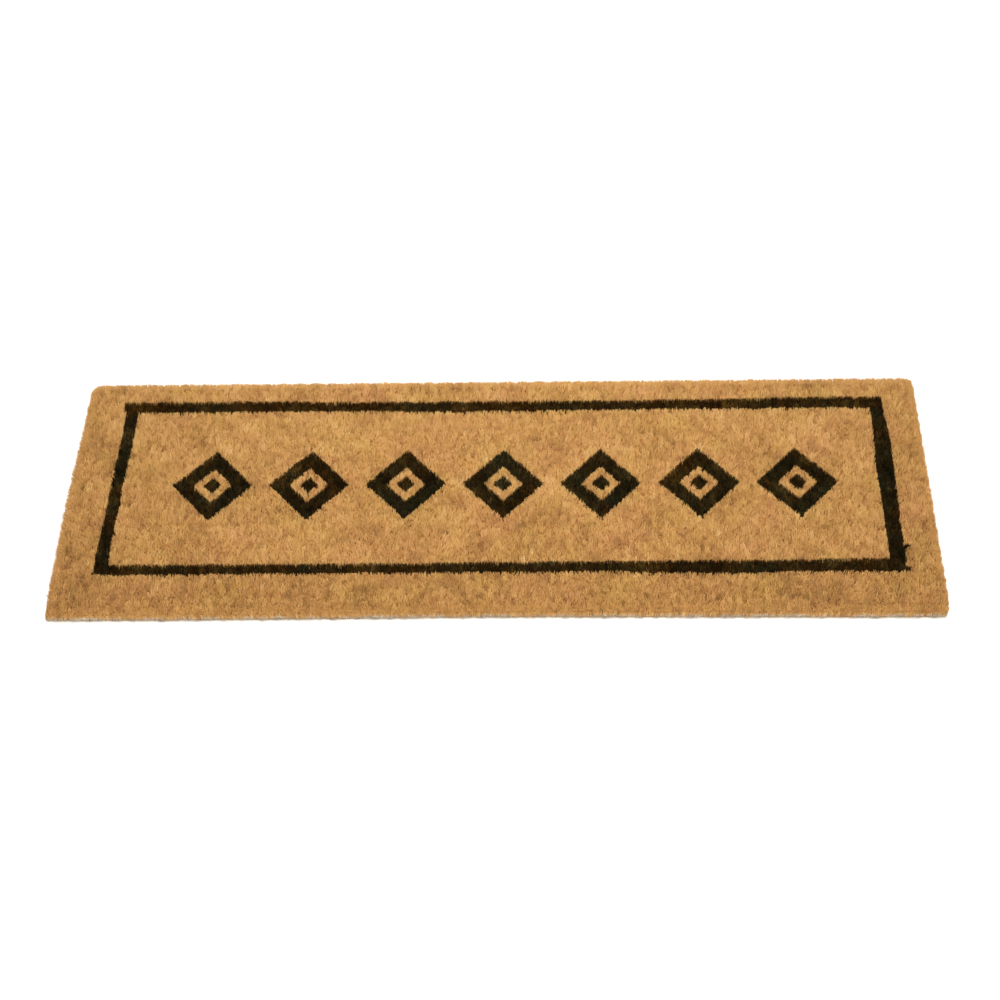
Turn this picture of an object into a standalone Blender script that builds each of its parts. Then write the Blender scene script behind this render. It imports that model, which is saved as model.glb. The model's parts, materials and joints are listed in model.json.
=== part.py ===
"""Door mat: coir pile set in a flexible vinyl backing, with an inlaid black border line and seven lozenges.

Metres, +Z up. The origin is the middle of the underside, +X runs along the mat and +Y away from the front edge.
"""

import math

import bpy

# The whole mat.
MAT_LENGTH = 1.200
MAT_DEPTH = 0.400
MAT_THICKNESS = 0.017
CORNER_RADIUS = 0.010
CORNER_STEPS = 6

# The backing sheet, and the clearance that each piece of pile keeps from its neighbours.
BACKING_THICKNESS = 0.0024
CLEARANCE = 0.0003

# Natural pile outside the border line, measured from each edge of the mat, and the width of each line.
# The design is set a little off centre, and its lines differ by a few rows of fibres.
MARGIN_FRONT = 0.064
MARGIN_BACK = 0.0338
MARGIN_LEFT = 0.0542
MARGIN_RIGHT = 0.0444
FRONT_LINE_WIDTH = 0.0160
BACK_LINE_WIDTH = 0.0174
LEFT_LINE_WIDTH = 0.0170
RIGHT_LINE_WIDTH = 0.0216

# The row of lozenges.
LOZENGE_COUNT = 7
LOZENGE_PITCH = 0.137
LOZENGE_WIDTH = 0.112
LOZENGE_HEIGHT = 0.120
LOZENGE_STROKE = 0.020
CENTRE_WIDTH = 0.0246
CENTRE_HEIGHT = 0.0264
ROW_X = 0.010
ROW_Y = 0.015

# Worked out from the sizes above.
HALF_LENGTH = MAT_LENGTH / 2
HALF_DEPTH = MAT_DEPTH / 2
PILE_BOTTOM = BACKING_THICKNESS + CLEARANCE
PILE_HEIGHT = MAT_THICKNESS - PILE_BOTTOM
LINE_LEFT = -HALF_LENGTH + MARGIN_LEFT
LINE_RIGHT = HALF_LENGTH - MARGIN_RIGHT
LINE_FRONT = -HALF_DEPTH + MARGIN_FRONT
LINE_BACK = HALF_DEPTH - MARGIN_BACK
FIELD_LEFT = LINE_LEFT + LEFT_LINE_WIDTH
FIELD_RIGHT = LINE_RIGHT - RIGHT_LINE_WIDTH
FIELD_FRONT = LINE_FRONT + FRONT_LINE_WIDTH
FIELD_BACK = LINE_BACK - BACK_LINE_WIDTH


def clear_scene():
    for obj in list(bpy.data.objects):
        bpy.data.objects.remove(obj, do_unlink=True)


def make_material(name, colour, roughness):
    material = bpy.data.materials.new(name)
    material.use_nodes = True
    shader = material.node_tree.nodes["Principled BSDF"]
    shader.inputs["Base Color"].default_value = (*colour, 1.0)
    shader.inputs["Roughness"].default_value = roughness
    shader.inputs["Metallic"].default_value = 0.0
    return material


def rectangle(left, right, front, back):
    """Corners of a rectangle, anticlockwise from the front left, drawn in by half the clearance."""
    gap = CLEARANCE / 2
    return [
        (left + gap, front + gap),
        (right - gap, front + gap),
        (right - gap, back - gap),
        (left + gap, back - gap),
    ]


def arc(centre_x, centre_y, radius, start_degrees):
    """A quarter circle, anticlockwise from start_degrees."""
    points = []
    for step in range(CORNER_STEPS + 1):
        angle = math.radians(start_degrees + 90 * step / CORNER_STEPS)
        points.append((centre_x + radius * math.cos(angle), centre_y + radius * math.sin(angle)))
    return points


def mat_outline():
    """The outline of the whole mat, anticlockwise, with its four corners rounded."""
    right = HALF_LENGTH - CORNER_RADIUS
    back = HALF_DEPTH - CORNER_RADIUS
    points = arc(right, back, CORNER_RADIUS, 0)
    points += arc(-right, back, CORNER_RADIUS, 90)
    points += arc(-right, -back, CORNER_RADIUS, 180)
    points += arc(right, -back, CORNER_RADIUS, 270)
    return points


def front_margin_outline():
    """The strip along the front edge: two corners of the mat, and a straight inner side."""
    inner = LINE_FRONT - CLEARANCE / 2
    front = -HALF_DEPTH + CORNER_RADIUS
    right = HALF_LENGTH - CORNER_RADIUS
    points = arc(-right, front, CORNER_RADIUS, 180)
    points += arc(right, front, CORNER_RADIUS, 270)
    points += [(HALF_LENGTH, inner), (-HALF_LENGTH, inner)]
    return points


def back_margin_outline():
    """The strip along the back edge: two corners of the mat, and a straight inner side."""
    inner = LINE_BACK + CLEARANCE / 2
    back = HALF_DEPTH - CORNER_RADIUS
    right = HALF_LENGTH - CORNER_RADIUS
    points = arc(right, back, CORNER_RADIUS, 0)
    points += arc(-right, back, CORNER_RADIUS, 90)
    points += [(-HALF_LENGTH, inner), (HALF_LENGTH, inner)]
    return points


def lozenge_outline(width, height, inset):
    """A lozenge about the origin, with every side moved in by inset."""
    half_width = width / 2
    half_height = height / 2
    side_distance = half_width * half_height / math.hypot(half_width, half_height)
    share = 1 - inset / side_distance
    return [
        (half_width * share, 0.0),
        (0.0, half_height * share),
        (-half_width * share, 0.0),
        (0.0, -half_height * share),
    ]


def moved(points, x, y):
    return [(px + x, py + y) for px, py in points]


def flat_piece(name, outlines, bottom, height, material, collection, place=(0.0, 0.0)):
    """An upright solid on closed outlines. An outline inside the first one is a hole through it."""
    curve = bpy.data.curves.new(name, "CURVE")
    curve.dimensions = "2D"
    curve.fill_mode = "BOTH"
    curve.extrude = height / 2
    for points in outlines:
        spline = curve.splines.new("POLY")
        spline.points.add(len(points) - 1)
        for point, (x, y) in zip(spline.points, points):
            point.co = (x, y, 0.0, 1.0)
        spline.use_cyclic_u = True
    curve.materials.append(material)
    piece = bpy.data.objects.new(name, curve)
    piece.location = (place[0], place[1], bottom + height / 2)
    collection.objects.link(piece)
    return piece


def lozenge_places():
    """The middle of each lozenge, from left to right."""
    first = ROW_X - LOZENGE_PITCH * (LOZENGE_COUNT - 1) / 2
    return [(first + LOZENGE_PITCH * number, ROW_Y) for number in range(LOZENGE_COUNT)]


def make_backing(material, collection):
    flat_piece("vinyl_backing", [mat_outline()], 0.0, BACKING_THICKNESS, material, collection)


def make_margins(material, collection):
    outlines = {
        "margin_pile_front": front_margin_outline(),
        "margin_pile_back": back_margin_outline(),
        "margin_pile_left": rectangle(-HALF_LENGTH - CLEARANCE / 2, LINE_LEFT, LINE_FRONT, LINE_BACK),
        "margin_pile_right": rectangle(LINE_RIGHT, HALF_LENGTH + CLEARANCE / 2, LINE_FRONT, LINE_BACK),
    }
    for name, outline in outlines.items():
        flat_piece(name, [outline], PILE_BOTTOM, PILE_HEIGHT, material, collection)


def make_border_lines(material, collection):
    """The front and back lines run the full width, and the side lines fit between them."""
    outlines = {
        "border_line_front": rectangle(LINE_LEFT, LINE_RIGHT, LINE_FRONT, FIELD_FRONT),
        "border_line_back": rectangle(LINE_LEFT, LINE_RIGHT, FIELD_BACK, LINE_BACK),
        "border_line_left": rectangle(LINE_LEFT, FIELD_LEFT, FIELD_FRONT, FIELD_BACK),
        "border_line_right": rectangle(FIELD_RIGHT, LINE_RIGHT, FIELD_FRONT, FIELD_BACK),
    }
    for name, outline in outlines.items():
        flat_piece(name, [outline], PILE_BOTTOM, PILE_HEIGHT, material, collection)


def make_field(material, collection):
    """The natural pile inside the border line, with an opening for each lozenge."""
    opening = lozenge_outline(LOZENGE_WIDTH, LOZENGE_HEIGHT, -CLEARANCE / 2)
    outlines = [rectangle(FIELD_LEFT, FIELD_RIGHT, FIELD_FRONT, FIELD_BACK)]
    for x, y in lozenge_places():
        outlines.append(moved(opening, x, y))
    flat_piece("field_pile", outlines, PILE_BOTTOM, PILE_HEIGHT, material, collection)


def make_lozenges(natural, black, collection):
    """Each motif is a black ring, the natural pile inside it and a small black centre."""
    gap = CLEARANCE / 2
    ring = [
        lozenge_outline(LOZENGE_WIDTH, LOZENGE_HEIGHT, gap),
        lozenge_outline(LOZENGE_WIDTH, LOZENGE_HEIGHT, LOZENGE_STROKE - gap),
    ]
    inset = [
        lozenge_outline(LOZENGE_WIDTH, LOZENGE_HEIGHT, LOZENGE_STROKE + gap),
        lozenge_outline(CENTRE_WIDTH, CENTRE_HEIGHT, -gap),
    ]
    centre = [lozenge_outline(CENTRE_WIDTH, CENTRE_HEIGHT, gap)]
    for number, place in enumerate(lozenge_places(), start=1):
        flat_piece(f"lozenge_{number}", ring, PILE_BOTTOM, PILE_HEIGHT, black, collection, place)
        flat_piece(f"lozenge_inset_{number}", inset, PILE_BOTTOM, PILE_HEIGHT, natural, collection, place)
        flat_piece(f"lozenge_centre_{number}", centre, PILE_BOTTOM, PILE_HEIGHT, black, collection, place)


def main():
    clear_scene()
    collection = bpy.data.collections.new("door_mat")
    bpy.context.scene.collection.children.link(collection)
    vinyl = make_material("vinyl", (0.52, 0.50, 0.44), 0.55)
    natural = make_material("natural_coir", (0.50, 0.27, 0.095), 0.90)
    black = make_material("black_coir", (0.018, 0.015, 0.012), 0.85)
    make_backing(vinyl, collection)
    make_margins(natural, collection)
    make_border_lines(black, collection)
    make_field(natural, collection)
    make_lozenges(natural, black, collection)


main()
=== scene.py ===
"""The looks of the coir door mat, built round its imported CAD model.

The brush pile is real geometry: tapered fibres in tufts, with shorter ones between them and long
ones round the edge. They stand in a lumpy bed on the vinyl backing. Metres, +Z up, with the mat's
front edge towards -Y.
"""

import json
import math

import bpy
import numpy as np
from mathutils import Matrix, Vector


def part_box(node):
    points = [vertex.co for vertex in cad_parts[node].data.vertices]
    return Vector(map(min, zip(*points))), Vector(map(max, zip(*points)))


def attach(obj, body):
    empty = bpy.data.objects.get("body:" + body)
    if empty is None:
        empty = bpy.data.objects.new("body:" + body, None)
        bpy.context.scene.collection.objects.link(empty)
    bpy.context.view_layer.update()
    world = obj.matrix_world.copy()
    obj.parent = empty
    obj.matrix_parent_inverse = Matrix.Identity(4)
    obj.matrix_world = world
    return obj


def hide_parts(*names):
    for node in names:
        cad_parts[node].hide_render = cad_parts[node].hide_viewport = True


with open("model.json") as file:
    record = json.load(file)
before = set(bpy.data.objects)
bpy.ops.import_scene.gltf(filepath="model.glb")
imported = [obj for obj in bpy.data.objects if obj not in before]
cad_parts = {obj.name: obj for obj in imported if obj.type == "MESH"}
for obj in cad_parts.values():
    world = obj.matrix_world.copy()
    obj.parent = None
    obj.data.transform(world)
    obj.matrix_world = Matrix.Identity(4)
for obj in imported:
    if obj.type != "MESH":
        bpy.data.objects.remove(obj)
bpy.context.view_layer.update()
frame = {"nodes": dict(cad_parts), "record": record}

SEED = 20

# Camera, at the photograph's angle. The rotation is in degrees.
CAMERA_PLACE = (0.096, -1.435, 1.909)
CAMERA_TURN = (36.90, 1.97, 1.01)
CAMERA_LENS = 61.2
CAMERA_SENSOR = 36

# Every fibre. Lengths are in metres and angles in radians. A name that ends in SPREAD is one
# standard deviation, and one that ends in RANGE is the least and the most, here and below. The
# width ranges are shares of FIBRE_WIDTH.
FIBRE_WIDTH = 0.00095
FIBRE_SIDES = 3
FIBRE_TAPER = 0.35
LONGEST_FIBRE = 0.022
CURL_SPREAD = 0.5
NAP = 0.46
LOW_LEAN = 0.75
HIGH_LEAN = 1.30
MOST_FIBRES_IN_PIECE = 13500
CELL_MARGIN = 0.12

# The tufts. They stand in staggered rows, and the fibres of one tuft lean together.
TUFT_PITCH = 0.0058
ROW_PITCH = 0.0072
FIRST_ROW = 0.3
TUFT_JITTER = 0.0010
TUFT_INSET = 0.002
TUFT_RADIUS_X = 0.0026
TUFT_RADIUS_Y = 0.0042
TUFT_LEAN = 0.33
TUFT_LEAN_SPREAD = 0.13
TUFT_LEAN_RANGE = (0.05, 0.9)
TUFT_SPLAY = 0.14
HEADING_SWING = 3.0
HEADING_WAVELENGTH = 0.026
HEADING_SPREAD = 0.6
TOP_SWELL = 0.0003
TOP_WAVELENGTH = 0.030
TOP_SPREAD = 0.0004
FIBRES_PER_TUFT = 22
FIBRE_INSET = 0.0010
FIBRE_WIDTH_RANGE = (0.7, 1.3)
FIBRE_TOP_SPREAD = 0.0003
FIBRE_LEAN_RANGE = (0.03, 1.10)
PULL_SPREAD = 0.08
BENT_SHARE = 0.36
STRAY_SHARE = 0.03
STRAY_LEAN = 0.4
STRAY_RISE = 0.0006
STRAY_INSET = 0.008
SHEAR_DEPTH = 0.0003
EDGE_REACH = 0.014
EDGE_FLARE = 0.20
EDGE_STIFFNESS = 0.6
MOTIF_UNEVEN = 0.35

# The shorter fibres between the tufts. The steps are those of the R2 sequence, which fills an
# area evenly and without rows.
UNDER_FIBRES = 72000
UNDER_STEP_X = 0.7548776662
UNDER_STEP_Y = 0.5698402910
UNDER_INSET = 0.003
UNDER_DEPTH = 0.0018
UNDER_PULL_SPREAD = 0.18
UNDER_WIDTH_RANGE = (0.8, 1.3)

# The long fibres round the edge, which flare outward in shallow scallops.
WALL_SPACING = 0.00015
WALL_INSET = 0.0006
WALL_THICKNESS = 0.0054
WALL_CROWDING = 1.5
WALL_TUFT_PITCH = 0.0032
WALL_FLARE_END = 0.0070
WALL_LOW_LEAN = 0.6
WALL_HIGH_LEAN = 1.9
WALL_LEAST_LEAN = 0.03
WALL_LEAN_SPREAD = 0.05
WALL_HEADING_SPREAD = 0.30
WALL_TUFT_HEADING_SPREAD = 0.09
WALL_WIDTH_RANGE = (0.8, 1.4)
WALL_SHEAR_DEPTH = 0.0010
WALL_SHORTENING = 0.0030
SCALLOP_PITCH = 0.024
SCALLOP_SHIFT = 0.9
SCALLOP_WAVELENGTH = 0.11
LEAST_REACH = 0.0024
SCALLOP_REACH = 0.0018
# The vinyl on their feet. It comes and goes along the edge, and fades inward over COAT_DEPTH.
COAT_RANGE = (0.5, 2.2)
COAT_DRIFT = 0.45
COAT_WAVELENGTH = 0.05
COAT_TUFT_SPREAD = 0.25
COAT_SPREAD = 0.20
COAT_DEPTH = 0.0025
COAT_FADE_START = 1.8

# The nearly upright fibres just inside them.
RIM_SPACING = 0.00022
RIM_INSET = 0.0016
RIM_END = 0.0072
RIM_FLARE = 0.30
RIM_FLARE_END = 0.0055
RIM_NAP = 0.5
RIM_NAP_LENGTH = 0.006
RIM_PULL_SPREAD = 0.10
RIM_TUFT_PITCH = 0.0055
RIM_SHEAR_DEPTH = 0.0005
RIM_SHORTENING = 0.0009

# How much the pile flares on each side. It is tucked in near the front of the two ends, and at
# every corner.
LEFT_FLARE = 1.2
RIGHT_FLARE = 1.0
FRONT_FLARE = 0.5
BACK_FLARE = 1.5
TUCKED_FLARE = 0.1
TUCK_LENGTH = 0.035
CORNER_TUCK = 0.8

# The bed that the fibres stand in, and how deep they stand in it.
BED_TOP = 0.0104
BED_SHIFT = 0.0030
BED_SHIFT_LENGTH = 0.02
BED_INSET = 0.0026
BED_SHOULDER = 0.0030
BED_SHOULDER_LENGTH = 0.006
BED_VOXEL = 0.0033
BED_LUMPS = 0.0007
BED_LUMP_WAVELENGTH = 0.006
BED_LUMP_SPREAD = 0.0002
BED_PATCHES = 0.12
BED_PATCH_WAVELENGTH = 0.008
# Painted shade deep in the pile: the natural bed is far darker than its fibres, and both beds take
# part of the fibres' painted root shade.
BED_SHADE_DEPTH = 0.35
NATURAL_BED_SHADE = 0.25
BLACK_BED_SHADE = 0.42
ROOT_DEPTH = 0.0030
SINK = 0.0006
BED_SINK = 0.0004

# The vinyl backing: low ribs moulded under it, inside a flat border, and an uneven cut edge.
RIB_PITCH = 0.005
RIB_DEPTH = 0.0006
RIB_BORDER = 0.008
BACKING_COLUMNS = 97
CORNER_ROWS = 10
BACKING_GAP = 0.0002
BACKING_SWELL = 0.0001
BACKING_WAVELENGTH = 0.02
EDGE_WANDER = 0.0005
EDGE_WAVELENGTH = 0.03
EDGE_SHARPNESS = 8
FRONT_LIP = 0.0008
FRONT_LIP_LENGTH = 0.002
MOST_FRONT_LIP = 0.0012
BACKING_SHARP_ANGLE = math.radians(50)

# The radius of each corner of the mat.
FRONT_LEFT_RADIUS = 0.0060
FRONT_RIGHT_RADIUS = 0.0080
BACK_LEFT_RADIUS = 0.0120
BACK_RIGHT_RADIUS = 0.0085

# The edges of the hand-laid border line wander. Each pair is a place along an edge, in metres, and
# how far the edge is off its CAD place there, in millimetres.
WANDER = {
    "line_left": ((-0.13, -2.0), (0.0, 0.2), (0.15, 2.5)),
    "line_right": (
        (-0.126, -4.0), (-0.116, -1.0), (-0.05, -1.5), (0.03, 1.0), (0.08, 1.5), (0.15, -2.0),
    ),
    "line_front": ((-0.5, -0.5), (0.17, 1.5), (0.23, -2.0), (0.34, -2.6), (0.38, 0.0)),
    "line_back": ((-0.5, 2.5), (-0.3, 2.0), (-0.2, -1.2), (0.3, -1.2), (0.36, 1.0), (0.5, 2.0)),
    "field_left": ((-0.13, -0.8), (-0.06, -2.0), (0.0, -1.0), (0.15, 2.2)),
    "field_right": ((-0.13, 0.5), (0.05, -0.5), (0.15, 3.0)),
    "field_front": ((-0.5, -2.0), (-0.1, -2.2), (0.0, -0.2), (0.45, 1.5), (0.55, 4.0)),
    "field_back": ((-0.5, 1.5), (-0.25, 1.5), (-0.05, -1.5), (0.15, -0.2), (0.5, 0.6)),
}

# The line runs over at three of its corners, and has a nick on its right side.
BACK_LEFT_OVERRUN = 0.0045
BACK_LEFT_TRIM = 0.002
FRONT_LEFT_OVERRUN = 0.0025
FRONT_LEFT_OVERRUN_WIDTH = 0.006
FRONT_RIGHT_OVERRUN = 0.0085
FRONT_RIGHT_OVERRUN_WIDTH = 0.007
NICK_Y = -0.096
NICK_HALF_WIDTH = 0.0026
NICK_LENGTH = 0.0075

# The dye bleeds a little. A lozenge's corners move further than its sides do.
BLEED = 0.0008
CORNER_GAIN = 1.4
# A fibre takes the colour of the area that it is over at this share of its way to the tip.
DYE_HEIGHT = 0.82
# The boundaries between colours are ragged: fine teeth of uneven pitch on a slow wander.
TOOTH = 0.0004
TOOTH_PITCH_X = 0.0010
TOOTH_PITCH_Y = 0.0008
TOOTH_UNEVENNESS = 3
TOOTH_BUNCH = 0.017
RAGGED_WANDER = 0.0006
RAGGED_WAVELENGTH = 0.05

# The mat lies a little spread. Its front edge sits further out by these pairs of place and
# millimetres, the feet of its front corners sit further out too, and the pile bows out past the
# left edge.
FRONT_PUSH = ((-0.45, 3.2), (-0.2, 1.5), (0.0, 0.0), (0.15, 0.5), (0.5, 2.4))
SPREAD_FROM_Y = 0.125
SPREAD_LENGTH = 0.07
SPREAD_FROM_X = 0.53
FOOT_SPREAD_LENGTH = 0.065
LEFT_FOOT_PUSH = 0.0055
RIGHT_FOOT_PUSH = 0.0018
FOOT_HEIGHT = 0.013
FOOT_FADE_START = 1.3
BOW = 0.0035
BOW_Y = -0.035
BOW_HALF_LENGTH = 0.15
BOW_WIDTH = 0.03
BOW_LEAN = 60

# Shades and tints run from 0 to 1. Each layer of clouding has a strength and a wavelength.
NATURAL_SHADE = 0.453
NATURAL_SHADE_SPREAD = 0.025
NATURAL_TINT_SPREAD = 0.03
PATCH_SHADE_SPREAD = 0.098
PATCH_TINT_SPREAD = 0.05
DARK_PATCH_GAIN = 1.4
STRAY_GLOW = 0.12
FRONT_STRAY_GLOW = 0.05
UNDER_SHADE = 0.443
UNDER_SHADE_SPREAD = 0.05
UNDER_TINT_SPREAD = 0.05
WALL_SHADE = 0.46
WALL_SHADE_SPREAD = 0.07
WALL_TINT_SPREAD = 0.08
WALL_TUFT_SHADE_SPREAD = 0.09
WALL_TUFT_TINT_SPREAD = 0.08
WALL_PALE_SHARE = 0.14
WALL_PALE_GLOW = 0.20
RIM_SHADE_SPREAD = 0.04
RIM_TINT_SPREAD = 0.08
RIM_TUFT_SHADE_SPREAD = 0.06
MIDDLE_SHADE = 0.445
MIDDLE_TINT = 0.5
TONE_CLOUDS = ((0.075, 0.040), (0.065, 0.120), (0.065, 0.014))
TINT_CLOUDS = ((0.12, 0.035), (0.16, 0.110))
FRONT_CLOUDING = 0.65
# How much darker the pile is outside the border line, and over what distance it turns darker.
FRONT_DARKER = 0.041
FRONT_FADE = 0.008
BACK_DARKER = 0.030
RIGHT_DARKER = 0.065
LEFT_DARKER = 0.066
SIDE_FADE = 0.02
# Painted light and shade over the whole pile: paler towards the back, darker towards the front.
BACKWARD_PAINTED_LIGHT = 0.034

TINY = 1e-9

rng = np.random.default_rng(SEED)


# ---------------------------------------------------------------- sizes from the frame

def flat_box(node):
    """Left, right, front and back of a CAD node."""
    low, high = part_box(node)
    return low.x, high.x, low.y, high.y


LEFT, RIGHT, FRONT, BACK = flat_box("vinyl_backing")
HALF_LENGTH = (RIGHT - LEFT) / 2
HALF_DEPTH = (BACK - FRONT) / 2
BACKING_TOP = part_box("vinyl_backing")[1].z
PILE_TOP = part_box("field_pile")[1].z
LINE_LEFT, LINE_RIGHT, LINE_FRONT, _ = flat_box("border_line_front")
LINE_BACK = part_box("border_line_back")[1].y
FIELD_LEFT, FIELD_RIGHT, FIELD_FRONT, FIELD_BACK = flat_box("field_pile")
MOTIFS = sorted(
    name.split("_")[-1] for name in frame["nodes"] if name.startswith("lozenge_centre_")
)


# ---------------------------------------------------------------- smooth random fields

DRIFT_WAVES = 14
DRIFT_PEAK = 1.6
# The shortest and longest wave of a drift, as shares of its wavelength.
WAVE_RANGE = (0.6, 1.6)


def drift(x, y, wavelength):
    """A smooth random field of about -1 to 1 that varies over the given wavelength."""
    total = np.zeros_like(x)
    for _ in range(DRIFT_WAVES):
        heading = rng.uniform(0, 2 * math.pi)
        pitch = 2 * math.pi / (wavelength * rng.uniform(*WAVE_RANGE))
        phase = rng.uniform(0, 2 * math.pi)
        total += np.sin(pitch * (x * math.cos(heading) + y * math.sin(heading)) + phase)
    return total / math.sqrt(DRIFT_WAVES / 2) / DRIFT_PEAK


def drift_along(t, wavelength):
    """The same along a line."""
    return drift(t, t * 0, wavelength)


def clouds(x, y, layers, middle=0):
    """Drifts of several sizes round a middle value."""
    return sum((strength * drift(x, y, wavelength) for strength, wavelength in layers), middle)


# ---------------------------------------------------------------- which piece of pile a point is in

def in_lozenge(x, y, node):
    """Inside a node's lozenge. A black one bleeds outward a little, and an inset is bled into."""
    left, right, front, back = flat_box(node)
    grown = CORNER_GAIN * (-BLEED if "inset" in node else BLEED)
    across = np.abs(x - (left + right) / 2) / ((right - left) / 2 + grown)
    along = np.abs(y - (front + back) / 2) / ((back - front) / 2 + grown)
    return across + along <= 1.0


def in_motif(x, y):
    return np.any([in_lozenge(x, y, f"lozenge_{number}") for number in MOTIFS], axis=0)


def swell(t, pairs):
    """How far an edge is off its place, in metres, from pairs of place and millimetres along it."""
    places, amounts = zip(*pairs)
    return np.interp(t, places, amounts) / 1000


def regions_of(x, y):
    """The name of the CAD node whose area each point is in."""
    line_left = LINE_LEFT - BLEED + swell(y, WANDER["line_left"])
    line_right = LINE_RIGHT + BLEED + swell(y, WANDER["line_right"])
    line_front = LINE_FRONT - BLEED + swell(x, WANDER["line_front"])
    line_back = LINE_BACK + BLEED + swell(x, WANDER["line_back"])
    field_left = FIELD_LEFT + BLEED + swell(y, WANDER["field_left"])
    field_right = FIELD_RIGHT - BLEED + swell(y, WANDER["field_right"])
    field_front = FIELD_FRONT + BLEED + swell(x, WANDER["field_front"])
    field_back = FIELD_BACK - BLEED + swell(x, WANDER["field_back"])
    names = np.full(len(x), "field_pile", dtype=object)
    inside = (x > field_left) & (x < field_right) & (y > field_front) & (y < field_back)
    names[~inside & (x <= field_left)] = "border_line_left"
    names[~inside & (x >= field_right)] = "border_line_right"
    names[~inside & (y <= field_front)] = "border_line_front"
    names[~inside & (y >= field_back)] = "border_line_back"
    names[x < line_left] = "margin_pile_left"
    names[x > line_right] = "margin_pile_right"
    names[y < line_front] = "margin_pile_front"
    names[y > line_back] = "margin_pile_back"
    back_left = (x > line_left - BACK_LEFT_OVERRUN) & (x < 0)
    back_left &= (y > field_back + BACK_LEFT_TRIM) & (y < line_back)
    front_left = (x > line_left - FRONT_LEFT_OVERRUN) & (x < 0)
    front_left &= (y > line_front) & (y < line_front + FRONT_LEFT_OVERRUN_WIDTH)
    front_right = (x < line_right + FRONT_RIGHT_OVERRUN) & (x > 0)
    front_right &= (y > line_front) & (y < line_front + FRONT_RIGHT_OVERRUN_WIDTH)
    nick = (x > line_right) & (x < line_right + NICK_LENGTH)
    nick &= np.abs(y - NICK_Y) < NICK_HALF_WIDTH
    names[back_left] = "border_line_back"
    names[front_left | front_right] = "border_line_front"
    names[nick] = "border_line_right"
    for number in MOTIFS:
        for node in (f"lozenge_{number}", f"lozenge_inset_{number}", f"lozenge_centre_{number}"):
            names[in_lozenge(x, y, node)] = node
    return names


def ragged(t, pitch):
    """How far the boundary between two areas is off its place at each point along it."""
    teeth = TOOTH * np.sin(t / pitch + TOOTH_UNEVENNESS * np.sin(t / TOOTH_BUNCH))
    return teeth + RAGGED_WANDER * drift_along(t, RAGGED_WAVELENGTH)


# ---------------------------------------------------------------- the mat's outline

def corner_radius(x, y):
    front = np.where(x < 0, FRONT_LEFT_RADIUS, FRONT_RIGHT_RADIUS)
    back = np.where(x < 0, BACK_LEFT_RADIUS, BACK_RIGHT_RADIUS)
    return np.where(y < 0, front, back)


def edge_distance(x, y):
    """How far inside the mat's rounded outline a point is, and the outward direction there."""
    radius = corner_radius(x, y)
    dx = np.abs(x) - HALF_LENGTH + radius
    dy = np.abs(y) - HALF_DEPTH + radius
    corner = (dx > 0) & (dy > 0)
    reach = np.hypot(np.maximum(dx, 0), np.maximum(dy, 0))
    straight = np.minimum(radius - dx, radius - dy)
    distance = np.where(corner, radius - reach, straight)
    out_x = np.where(corner, np.sign(x) * dx, np.where(dx > dy, np.sign(x), 0.0))
    out_y = np.where(corner, np.sign(y) * dy, np.where(dx > dy, 0.0, np.sign(y)))
    size = np.maximum(np.hypot(out_x, out_y), TINY)
    return distance, out_x / size, out_y / size


def outline_loop():
    """Distance walked round the mat's outline, with the place and outward direction there."""
    quarter = np.radians(np.arange(0, 91, 5))
    points = []
    for sign_x, sign_y, start in ((1, 1, 0), (-1, 1, 90), (-1, -1, 180), (1, -1, 270)):
        radius = float(corner_radius(sign_x, sign_y))
        out_x = np.cos(quarter + math.radians(start))
        out_y = np.sin(quarter + math.radians(start))
        x = sign_x * (HALF_LENGTH - radius) + radius * out_x
        y = sign_y * (HALF_DEPTH - radius) + radius * out_y
        points.append(np.stack([x, y, out_x, out_y]))
    points.append(points[0][:, :1])
    loop = np.concatenate(points, axis=1)
    steps = np.hypot(np.diff(loop[0]), np.diff(loop[1]))
    return np.concatenate([[0.0], np.cumsum(steps)]), loop


def edge_walk(spacing):
    """Random places round the outline: the distance walked, the place and the direction."""
    walked, loop = outline_loop()
    n = int(walked[-1] / spacing)
    s = (np.arange(n) + rng.uniform(0, 1, n)) * walked[-1] / n
    return s, [np.interp(s, walked, row) for row in loop]


def per_stretch(s, pitch, amount):
    """A random value for each short stretch of the outline."""
    stretch = np.floor(s / pitch).astype(int)
    return rng.normal(0, amount, stretch.max() + 1)[stretch]


def spread(points):
    """Moves the front edge and the feet of the front corners out, as the spread mat has them."""
    x, y, z = np.moveaxis(points, -1, 0)
    front = np.clip((-SPREAD_FROM_Y - y) / SPREAD_LENGTH, 0, 1)
    left = np.clip((-SPREAD_FROM_X - x) / FOOT_SPREAD_LENGTH, 0, 1)
    right = np.clip((x - SPREAD_FROM_X) / FOOT_SPREAD_LENGTH, 0, 1)
    low = np.clip(FOOT_FADE_START - z / FOOT_HEIGHT, 0, 1)
    moved = points.copy()
    moved[..., 0] = x + (RIGHT_FOOT_PUSH * right - LEFT_FOOT_PUSH * left) * front * low
    moved[..., 1] = y - swell(x, FRONT_PUSH) * front
    return moved


def side_flare(y, out_x, out_y):
    """How much the pile flares on the side that faces this way."""
    tucked = TUCKED_FLARE + (1 - TUCKED_FLARE) * np.clip((y - FRONT) / TUCK_LENGTH, 0, 1)
    side = np.where(out_x < 0, LEFT_FLARE, RIGHT_FLARE) * tucked * np.abs(out_x)
    side = side + np.where(out_y < 0, FRONT_FLARE, BACK_FLARE) * np.abs(out_y)
    return side * (1 - CORNER_TUCK * np.abs(out_x * out_y))


def side_bow(x, y):
    """How far the pile bows out past the left edge."""
    share = np.clip(1 - ((y - BOW_Y) / BOW_HALF_LENGTH) ** 2, 0, 1)
    return BOW * share * (x < LEFT + BOW_WIDTH)


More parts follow.
